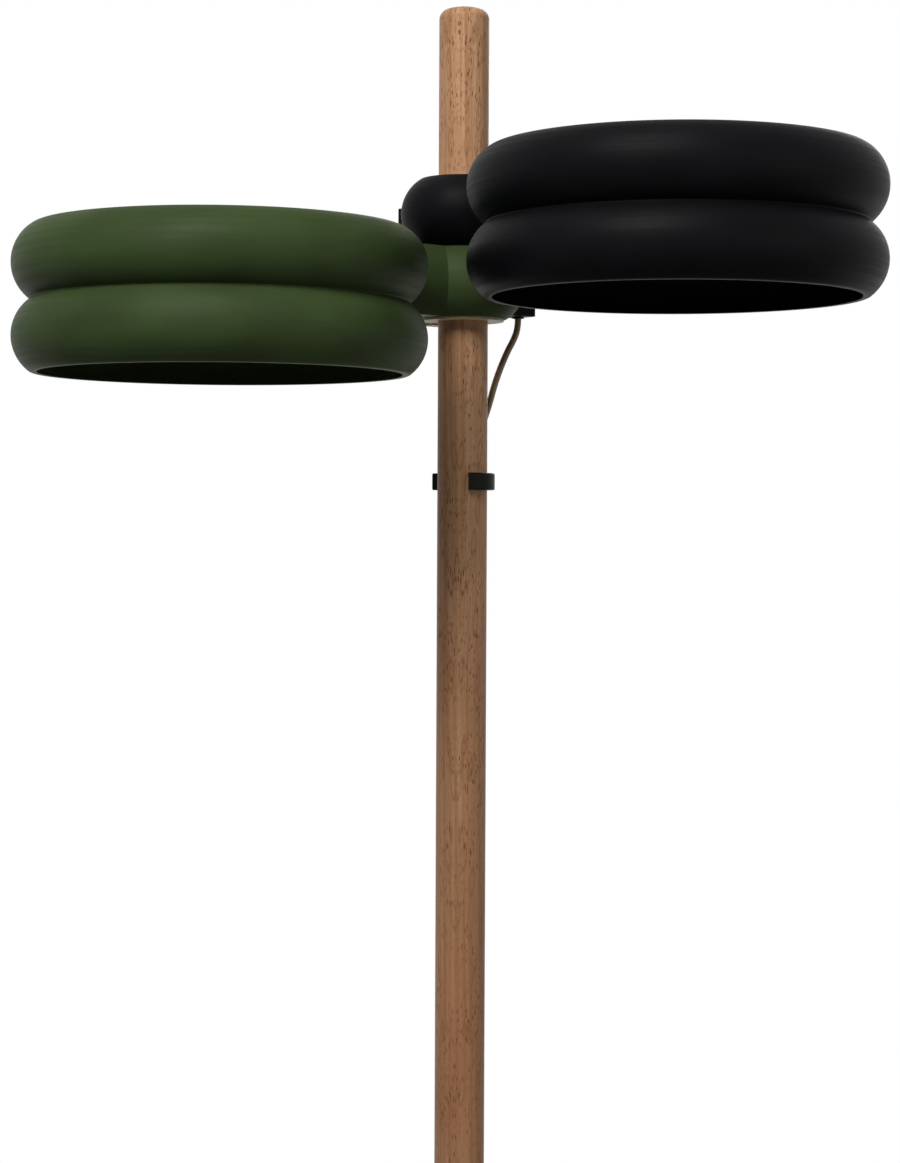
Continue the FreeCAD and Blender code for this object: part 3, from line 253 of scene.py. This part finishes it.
def printedFinish(name, look):
    finish, tree, shader = newFinish(name, roughness=look["roughness"], specular=look["specular"])
    # layers differ a little in width and gloss; a beat about 2 mm high shows from a step away
    beat = noise(tree, objectPlace(tree, (3, 3, 520)), 1.0, 3.0, 0.65)
    cloud = noise(tree, objectPlace(tree, (22, 22, 40)), 1.0, 3.0)
    colour = blendColour(tree, spread(tree, cloud, 0.3, 0.7), linear(*look["colour"]), linear(*look["deep"]))
    colour = blendColour(tree, spread(tree, beat, 0.45, 0.75, 0.0, 0.35), colour, linear(*look["deep"]))
    tree.links.new(colour, shader.inputs["Base Color"])
    low = look["roughness"] - 0.05
    tree.links.new(spread(tree, beat, 0.3, 0.7, low, low + 0.12), shader.inputs["Roughness"])
    layers = tree.nodes.new("ShaderNodeTexWave")
    layers.bands_direction = "Z"
    layers.inputs["Scale"].default_value = 2 * math.pi / (20 * printed["layer"])
    layers.inputs["Distortion"].default_value = 0.0
    tree.links.new(objectPlace(tree), layers.inputs["Vector"])
    pimples = cells(tree, objectPlace(tree, (150, 150, 150)), 1.0)
    rare = spread(tree, pimples.outputs["Distance"], 0.03, 0.07, 1.0, 0.0)
    fineLayers = sums(tree, "MULTIPLY", layers.outputs["Fac"], 0.25)
    height = sums(tree, "ADD", fineLayers, sums(tree, "MULTIPLY", beat, 1.2))
    height = sums(tree, "ADD", height, sums(tree, "MULTIPLY", rare, 2.2))
    ridges(tree, shader, height, 0.00006, 0.55)
    return finish


def plainFinish(name, colour, roughness=0.5, grain=(300, 300, 300), vary=0.1, depth=0.00003, specular=0.3):
    # a smooth moulded, cast or turned surface with a little cloud in its colour and gloss
    finish, tree, shader = newFinish(name, roughness=roughness, specular=specular)
    cloud = noise(tree, objectPlace(tree, (40, 40, 40)), 1.0, 3.0)
    fine = noise(tree, objectPlace(tree, grain), 1.0, 3.0)
    darker = tuple(c * (1 - 2 * vary) for c in linear(*colour)[:3]) + (1.0,)
    clouded = blendColour(tree, spread(tree, cloud, 0.3, 0.7), linear(*colour), darker)
    tree.links.new(clouded, shader.inputs["Base Color"])
    gloss = spread(tree, fine, 0.3, 0.7, max(roughness - 0.08, 0.03), roughness + 0.08)
    tree.links.new(gloss, shader.inputs["Roughness"])
    ridges(tree, shader, fine, depth, 0.4)
    return finish


def brushedFinish(name, colour, roughness=0.3):
    # turned metal, its fine scratches running round
    finish, tree, shader = newFinish(name, roughness=roughness)
    shader.inputs["Metallic"].default_value = 1.0
    rings = noise(tree, objectPlace(tree, (20, 20, 3000)), 1.0, 3.0, 0.6)
    cloud = noise(tree, objectPlace(tree, (60, 60, 60)), 1.0, 2.0)
    darker = tuple(c * 0.8 for c in linear(*colour)[:3]) + (1.0,)
    clouded = blendColour(tree, spread(tree, cloud, 0.3, 0.7), linear(*colour), darker)
    tree.links.new(clouded, shader.inputs["Base Color"])
    gloss = spread(tree, rings, 0.3, 0.7, roughness - 0.08, roughness + 0.14)
    tree.links.new(gloss, shader.inputs["Roughness"])
    ridges(tree, shader, rings, 0.00001, 0.4)
    return finish


thread = {"pitch": 0.002, "depth": 0.0007, "groove": (96, 96, 98), "crest": (168, 168, 170)}


def threadFinish():
    # the jack's thread winds up the screw, one pitch a turn
    finish, tree, shader = newFinish("threadedSteel", roughness=0.32)
    shader.inputs["Metallic"].default_value = 1.0
    place = tree.nodes.new("ShaderNodeTexCoord")
    parts = tree.nodes.new("ShaderNodeSeparateXYZ")
    tree.links.new(place.outputs["Object"], parts.inputs["Vector"])
    angle = sums(tree, "ARCTAN2", parts.outputs["Y"], parts.outputs["X"])
    turns = sums(tree, "MULTIPLY", angle, 0.5 / math.pi)
    height = sums(tree, "DIVIDE", parts.outputs["Z"], thread["pitch"])
    ridge = sums(tree, "PINGPONG", sums(tree, "SUBTRACT", height, turns), 0.5)
    groove = spread(tree, ridge, 0.0, 0.5)
    # painted shade: the thread's grooves are drawn darker than its crests
    colour = blendColour(tree, groove, linear(*thread["groove"]), linear(*thread["crest"]))
    tree.links.new(colour, shader.inputs["Base Color"])
    ridges(tree, shader, groove, thread["depth"], 1.0)
    return finish


def feltFinish():
    finish, tree, shader = newFinish("felt", roughness=0.95, specular=0.2)
    fibres = noise(tree, objectPlace(tree, (900, 900, 900)), 1.0, 4.0, 0.7, 1.5)
    colour = blendColour(tree, fibres, linear(150, 138, 120), linear(205, 194, 174))
    tree.links.new(colour, shader.inputs["Base Color"])
    ridges(tree, shader, fibres, 0.0002, 0.8)
    shader.inputs["Sheen Weight"].default_value = 0.4
    return finish


def cordFinish():
    # smooth sand-coloured sheath, a little dusty
    finish, tree, shader = newFinish("cordSheath", roughness=0.42, specular=0.45)
    cloud = noise(tree, objectPlace(tree, (60, 60, 60)), 1.0, 3.0)
    colour = blendColour(tree, spread(tree, cloud, 0.3, 0.7), linear(134, 112, 76), linear(112, 90, 58))
    tree.links.new(colour, shader.inputs["Base Color"])
    ridges(tree, shader, noise(tree, objectPlace(tree, (500, 500, 500)), 1.0, 2.0), 0.00003, 0.3)
    return finish


finishes = {
    "beech": beechFinish(),
    "greenPrint": printedFinish("greenPrint", printed["green"]),
    "blackPrint": printedFinish("blackPrint", printed["black"]),
    "nylon": plainFinish("naturalNylon", (168, 154, 122), 0.42, vary=0.04, specular=0.15),
    "threadedSteel": threadFinish(),
    "steel": brushedFinish("brushedSteel", (168, 168, 170), 0.3),
    "aluminium": brushedFinish("turnedAluminium", (196, 197, 201), 0.34),
    "blackMetal": plainFinish("blackPowderCoat", (24, 24, 25), 0.5, grain=(900, 900, 900), depth=0.00008),
    "rubber": plainFinish("blackRubber", (26, 26, 26), 0.8, grain=(500, 500, 500), depth=0.00008),
    "opal": plainFinish("opalCup", (222, 221, 214), 0.55, vary=0.02),
    "board": plainFinish("whiteBoard", (226, 227, 222), 0.45, vary=0.02),
    "felt": feltFinish(),
    "cord": cordFinish(),
    "brass": brushedFinish("brassPin", (214, 184, 120), 0.25),
    "clipPlastic": plainFinish(
        "blackNylon", (15, 15, 15), 0.42, grain=(60, 60, 900), vary=0.08, specular=0.06
    ),
}
print("finishes made")


def dress(item, finish):
    item.data.materials.clear()
    item.data.materials.append(finishes[finish])


# shaping helpers
def turnedShape(name, centre, profile, sides=96, sharp=28):
    # a circle drawn up its profile ring by ring, then closed at both ends; profile is (radius, height)
    letGo()
    x, y = centre
    radius, height = profile[0]
    bpy.ops.mesh.primitive_circle_add(
        vertices=sides, radius=radius, fill_type="NOTHING", location=(x, y, height)
    )
    item = bpy.context.object
    item.name = name
    bpy.ops.object.mode_set(mode="EDIT")
    bpy.ops.mesh.select_mode(type="EDGE")
    for nextRadius, nextHeight in profile[1:]:
        bpy.ops.mesh.extrude_region_move(TRANSFORM_OT_translate={"value": (0, 0, nextHeight - height)})
        grow = nextRadius / radius
        bpy.ops.transform.resize(value=(grow, grow, 1), center_override=(x, y, nextHeight))
        radius, height = nextRadius, nextHeight
    bpy.ops.mesh.select_all(action="SELECT")
    bpy.ops.mesh.fill_holes(sides=0)
    bpy.ops.mesh.normals_make_consistent(inside=False)
    bpy.ops.object.mode_set(mode="OBJECT")
    bpy.ops.object.transform_apply(location=True, rotation=True, scale=True)
    bpy.ops.object.shade_smooth_by_angle(angle=math.radians(sharp))
    return item


def arcPoints(centre, radius, start, stop, steps):
    # points on an arc in the profile plane, angles in degrees up from outwards
    points = []
    for i in range(steps + 1):
        a = math.radians(start + (stop - start) * i / steps)
        points.append((centre[0] + radius * math.cos(a), centre[1] + radius * math.sin(a)))
    return points


def smoothCopy(node, name, body, angle=30):
    # the node's own shape, its triangles merged and its curves shaded smooth
    letGo()
    item = nodes[node].copy()
    item.data = nodes[node].data.copy()
    for key in list(item.keys()):
        del item[key]
    item.parent = None
    item.name = name
    bpy.context.scene.collection.objects.link(item)
    item.select_set(True)
    bpy.context.view_layer.objects.active = item
    bpy.ops.object.mode_set(mode="EDIT")
    bpy.ops.mesh.select_all(action="SELECT")
    bpy.ops.mesh.remove_doubles(threshold=0.000002)
    bpy.ops.mesh.customdata_custom_splitnormals_clear()
    bpy.ops.mesh.tris_convert_to_quads(face_threshold=0.02, shape_threshold=0.7)
    bpy.ops.object.mode_set(mode="OBJECT")
    bpy.ops.object.shade_smooth_by_angle(angle=math.radians(angle))
    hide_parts(node)
    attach(item, body)
    return item


# cord
cordRoute = {
    "exit": (33.70, 27.19, 2216.6),
    "head": [(33.55, 27.12, -6.0), (31.0, 26.5, -13.0), (26.9, 25.4, -20.5), (20.4, 23.6, -36.75),
             (15.4, 21.6, -55.75), (9.2, 19.3, -72.75), (3.6, 17.0, -89.75)],
    "foot": [(3.6, 17.0, 290.0), (4.0, 20.0, 262.0), (5.5, 29.0, 214.0), (8.0, 43.0, 160.0),
             (11.0, 58.0, 104.0), (14.5, 72.0, 54.0), (18.0, 86.0, 19.0), (22.5, 106.0, 2.6),
             (25.4, 135.0, 2.9), (25.4, 161.0, 2.9)],
    "end": [(25.3, 180.0, 16.4), (27.2, 195.0, 12.6), (34.0, 209.0, 9.4), (46.0, 219.0, 7.6),
            (60.0, 224.0, 7.0), (74.0, 224.0, 7.0)],
    "radius": 2.0,
}
coil = {
    "x": 55.0, "y": 165.0, "low": 2.9, "out": 29.6, "step": 4.5, "layers": 4, "turnsPerLayer": 2.5,
    "pointsPerTurn": 16,
}


def coilPlace(turns):
    # spirals in, climbs a layer in half a turn, spirals out, and so on
    per = coil["turnsPerLayer"]
    step = coil["step"]
    inside = coil["out"] - step * per
    layer = min(int(turns // per), coil["layers"] - 1)
    along = turns - layer * per
    depth = along if layer % 2 == 0 else per - along
    radius = coil["out"] - step * depth
    height = coil["low"] + step * layer
    for k in range(1, coil["layers"]):
        off = turns - k * per
        if abs(off) < 0.25:
            soft = step * (off * off * 2 + 0.125)
            radius = inside + soft if k % 2 == 1 else coil["out"] - soft
            part = off * 2 + 0.5
            height = coil["low"] + step * (k - 1 + part * part * (3 - 2 * part))
    angle = math.pi - 2 * math.pi * turns
    return (coil["x"] + radius * math.cos(angle), coil["y"] + radius * math.sin(angle), height)


def makeCord():
    exitHeight = cordRoute["exit"][2]
    points = [cordRoute["exit"]]
    points += [(x, y, exitHeight + fall) for x, y, fall in cordRoute["head"]]
    clips = [(3.6, 17.0, 2112.0), (3.6, 17.0, 305.0)]  # close to both ends of the long straight stretch
    points += clips
    points += cordRoute["foot"]
    total = int(coil["layers"] * coil["turnsPerLayer"] * coil["pointsPerTurn"])
    points += [coilPlace(i / coil["pointsPerTurn"]) for i in range(total + 1)]
    points += cordRoute["end"]

    curve = bpy.data.curves.new("cordRoute", "CURVE")
    curve.dimensions = "3D"
    spline = curve.splines.new("NURBS")
    spline.points.add(len(points) - 1)
    for point, place in zip(spline.points, points):
        point.co = (place[0] * mm, place[1] * mm, place[2] * mm, 1.0)
    spline.order_u = 3
    spline.use_endpoint_u = True
    curve.resolution_u = 10
    route = bpy.data.objects.new("cordRoute", curve)
    bpy.context.scene.collection.objects.link(route)
    line = bpy.data.meshes.new_from_object(route)  # the route with no thickness yet
    path = [tuple(v.co) for v in line.vertices]
    curve.bevel_depth = cordRoute["radius"] * mm
    curve.bevel_resolution = 3
    curve.use_fill_caps = True
    tube = bpy.data.meshes.new_from_object(route)
    cord = bpy.data.objects.new("lampCord", tube)
    bpy.context.scene.collection.objects.link(cord)
    bpy.data.objects.remove(route)
    letGo()
    cord.select_set(True)
    bpy.context.view_layer.objects.active = cord
    bpy.ops.object.shade_smooth()
    dress(cord, "cord")
    return cord, path


cord, cordPath = makeCord()

cordTie = smoothCopy("cord_tie", "cordTie", "stand", 40)
dress(cordTie, "clipPlastic")
plugBody = smoothCopy("plug_body", "plugBody", "stand", 40)
dress(plugBody, "cord")
plugPins = smoothCopy("plug_pins", "plugPins", "stand", 40)
dress(plugPins, "brass")

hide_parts("cord", "cord_coil", "cord_end")
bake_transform(cord)


# pole
pole = {
    "radius": 15.0, "top": 2399.5, "low": 66.0, "topRound": 6.0, "padRadius": 8.0, "padRoom": 0.1,
    "padDepth": 1.4,
}


def makePole():
    r = pole["radius"]
    flat = r - pole["topRound"]
    profile = [(1.0, pole["low"]), (r, pole["low"])]
    profile += [(r, h) for h in (600.0, 1200.0, 1800.0, 2200.0)]
    profile += arcPoints((flat, pole["top"] - pole["topRound"]), pole["topRound"], 0, 84, 10)
    # the round recess that the felt pad sits in
    recess = pole["padRadius"] + pole["padRoom"]
    floorHeight = pole["top"] - pole["padDepth"]
    profile += [(flat, pole["top"]), (recess, pole["top"]), (recess, floorHeight), (1.0, floorHeight)]
    item = turnedShape("woodPole", (0, 0), [(a * mm, b * mm) for a, b in profile], sides=128)
    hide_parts("pole")
    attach(item, "stand")
    dress(item, "beech")


makePole()
print("pole made")


# shades
shade = {
    "reach": 174.0, "radius": 116.0, "round": 24.5, "lowRing": 20.0, "pitch": 40.5, "topRise": 21.0,
    "wall": 2.0, "roof": 2.4, "topEdge": 3.0, "rimEdge": 0.5, "sides": 192,
    "heads": {"black": {"turn": -47.5, "rim": 2215.6}, "green": {"turn": -141.1, "rim": 2173.6}},
}


def shadeProfile():
    # from the middle of the roof's inside, out and down to the rim, and up the outside to the roof's middle
    r = shade["radius"] - shade["round"]
    upper = shade["lowRing"] + shade["pitch"]
    top = upper + shade["topRise"]
    inner = shade["round"] - shade["wall"]
    outer = shade["round"]
    waist = shade["pitch"] / 2

    def angleAt(rise, radius):
        return math.degrees(math.asin(rise / radius))

    insideTop = shade["topRise"] - shade["roof"]
    profile = [(1.0, top - shade["roof"])]
    profile += arcPoints((r, upper), inner, angleAt(insideTop, inner), -angleAt(waist, inner), 18)
    low = shade["lowRing"]
    profile += arcPoints((r, low), inner, angleAt(waist, inner), -angleAt(low - 0.01, inner), 18)[1:]
    rimIn = profile[-1][0]
    rimOut = r + math.sqrt(outer ** 2 - shade["lowRing"] ** 2)
    e = shade["rimEdge"]
    profile += [(rimIn + e, 0.0), (rimOut - e, 0.0)]
    profile += arcPoints((r, low), outer, -angleAt(low - e, outer), angleAt(waist - 0.9, outer), 24)
    middle = shade["lowRing"] + waist
    waistRadius = r + math.sqrt(outer ** 2 - waist ** 2)
    # the waist's bottom is a little rounded
    for radius, height in ((0.62, -0.45), (0.5, 0.0), (0.62, 0.45)):
        profile.append((waistRadius + radius, middle + height))
    edgeStart = angleAt(shade["topRise"] - shade["topEdge"], outer)
    profile += arcPoints((r, upper), outer, -angleAt(waist - 0.9, outer), edgeStart, 24)
    start = profile[-1]
    flatRadius = r + outer * math.cos(math.radians(edgeStart)) - shade["topEdge"] * 1.75
    for i in range(1, 7):
        t = i / 6
        cornerR = r + outer * math.cos(math.radians(angleAt(shade["topRise"], outer))) + 0.2
        a, b, c = (1 - t) ** 2, 2 * t * (1 - t), t * t
        profile.append((a * start[0] + b * cornerR + c * flatRadius, a * start[1] + b * top + c * top))
    profile.append((1.0, top))
    return profile


def makeShade(colour):
    head = shade["heads"][colour]
    turn = math.radians(head["turn"])
    x = shade["reach"] * math.cos(turn) * mm
    y = shade["reach"] * math.sin(turn) * mm
    profile = [(a * mm, (b + head["rim"]) * mm) for a, b in shadeProfile()]
    item = turnedShape(colour + "Shade", (x, y), profile, sides=shade["sides"], sharp=50)
    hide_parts(colour + "_shade")
    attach(item, colour + "_head")
    dress(item, colour + "Print")
    return item


for colour in ("black", "green"):
    makeShade(colour)
print("shades made")


# hubs, boxes and what the heads hold
headParts = {
    "hub_arm": ("HubArm", None, None, 30),
    "grub_screw": ("GrubScrew", "steel", "steel", 35),
    "arm_screws": ("ArmScrews", "steel", "steel", 35),
    "heat_plate": ("HeatPlate", "aluminium", "aluminium", 35),
    "led_board": ("LedBoard", "board", "board", 35),
    "diffuser": ("Diffuser", "opal", "opal", 35),
    "plate_screws": ("PlateScrews", "steel", "steel", 35),
    "cable_box": ("CableBox", "blackPrint", "black_print", 30),
    "box_cover": ("BoxCover", "blackPrint", "black_print", 30),
    "box_screws": ("BoxScrews", "steel", "steel", 35),
    "gland": ("Gland", "clipPlastic", "black_print", 35),
    "terminal": ("Terminal", "opal", "opal", 35),
    "led_lead": ("LedLead", "cord", "cord", 35),
}

for colour in ("black", "green"):
    for node, (word, finish, slot, angle) in headParts.items():
        item = smoothCopy(colour + "_" + node, colour + word, colour + "_head", angle)
        dress(item, finish or colour + "Print")
    sleeveBody = "black_slider" if colour == "black" else "stand"
    sleeve = smoothCopy(colour + "_sleeve", colour + "Sleeve", sleeveBody, 35)
    dress(sleeve, "nylon")
print("heads made")


# clips, ferrule and jack
standParts = {
    "top_pad": ("TopPad", "stand", "felt", "felt"),
    "ferrule": ("Ferrule", "stand", "steel", "steel"),
    "ferrule_screws": ("FerruleScrews", "stand", "steel", "steel"),
    "guide_pin": ("GuidePin", "stand", "steel", "steel"),
    "cable_clips": ("CableClips", "stand", "clipPlastic", "black_print"),
    "jack_screw": ("JackScrew", "jack_foot", "threadedSteel", "steel"),
    "foot_disc": ("FootDisc", "jack_foot", "blackMetal", "black_metal"),
    "foot_rubber": ("FootRubber", "jack_foot", "rubber", "rubber"),
    "jack_nut": ("JackNut", "jack_wheel", "aluminium", "aluminium"),
}
for node, (word, body, finish, slot) in standParts.items():
    item = smoothCopy(node, word[0].lower() + word[1:], body, 35)
    dress(item, finish)
print("stand made")


# floor, lights and view
studio = {
    "floor": 3.0, "floorColour": (226, 224, 220), "worldLight": 0.1,
    "key": {"place": (-0.6, -1.7, 3.8), "size": 1.3, "power": 78, "colour": (1.0, 0.98, 0.95)},
    "fill": {"place": (2.0, -1.4, 2.5), "size": 1.4, "power": 8, "colour": (1.0, 0.97, 0.92)},
    "back": {"place": (0.4, 2.2, 3.0), "size": 1.6, "power": 16, "colour": (1.0, 1.0, 1.0)},
}


def makeFloor():
    letGo()
    bpy.ops.mesh.primitive_plane_add(size=2 * studio["floor"], location=(0, 0, 0))
    floor = bpy.context.object
    floor.name = "floor"
    finish, tree, shader = newFinish("paleFloor", roughness=0.7)
    cloud = noise(tree, objectPlace(tree, (1.5, 1.5, 1.5)), 1.0)
    colour = blendColour(tree, cloud, linear(*studio["floorColour"]), linear(232, 231, 228))
    tree.links.new(colour, shader.inputs["Base Color"])
    floor.data.materials.append(finish)


def makeLight(name):
    look = studio[name]
    data = bpy.data.lights.new(name + "Light", "AREA")
    data.shape = "DISK"
    data.size = look["size"]
    data.energy = look["power"]
    data.color = look["colour"]
    item = bpy.data.objects.new(name + "Light", data)
    bpy.context.scene.collection.objects.link(item)
    item.location = look["place"]
    aim = Vector((0, 0, 2.15)) - Vector(look["place"])
    item.rotation_euler = aim.to_track_quat("-Z", "Y").to_euler()


def makeWorld():
    world = bpy.data.worlds.new("studioWorld")
    bpy.context.scene.world = world
    world.use_nodes = True
    tree = world.node_tree
    background = tree.nodes["Background"]
    background.inputs["Color"].default_value = (1, 1, 1, 1)
    rays = tree.nodes.new("ShaderNodeLightPath")
    seen = sums(tree, "MAXIMUM", rays.outputs["Is Camera Ray"], rays.outputs["Is Transmission Ray"])
    seen = sums(tree, "MAXIMUM", seen, rays.outputs["Is Glossy Ray"])
    strength = spread(tree, seen, 0, 1, studio["worldLight"], 1.0)
    tree.links.new(strength, background.inputs["Strength"])


makeFloor()
for name in ("key", "fill", "back"):
    makeLight(name)
makeWorld()
bpy.context.scene.view_settings.view_transform = "Standard"
print("studio made")
